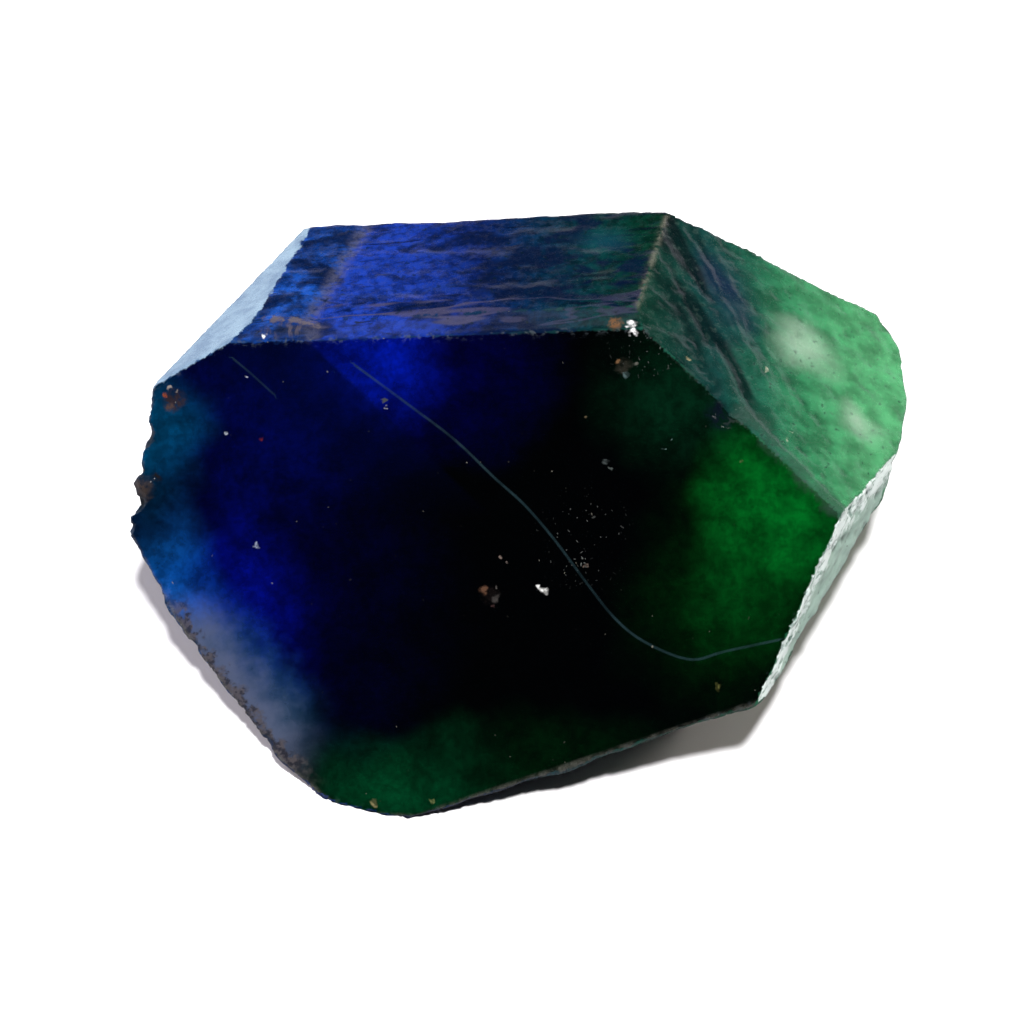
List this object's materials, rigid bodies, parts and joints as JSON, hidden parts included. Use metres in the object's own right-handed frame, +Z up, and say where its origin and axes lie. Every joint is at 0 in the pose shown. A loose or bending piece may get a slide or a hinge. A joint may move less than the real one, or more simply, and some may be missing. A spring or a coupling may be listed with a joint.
{
  "type": "rough tourmaline crystal",
  "caption": "Rough blue-green tourmaline crystal with a large flat table face, ridged and pitted sides and a broken end, lying on its flat base.",
  "frame": {"origin": "the middle of the stone's outline at the level of the flat base it lies on", "axes": "+X along the stone from the blue broken end to the green end, +Y to its back, +Z up"},
  "size_m": [0.0258, 0.0206, 0.0081],
  "materials": {
    "tourmaline": "gloss"
  },
  "bodies": {
    "root": {"tourmaline_crystal": "tourmaline"}
  },
  "joints": []
}
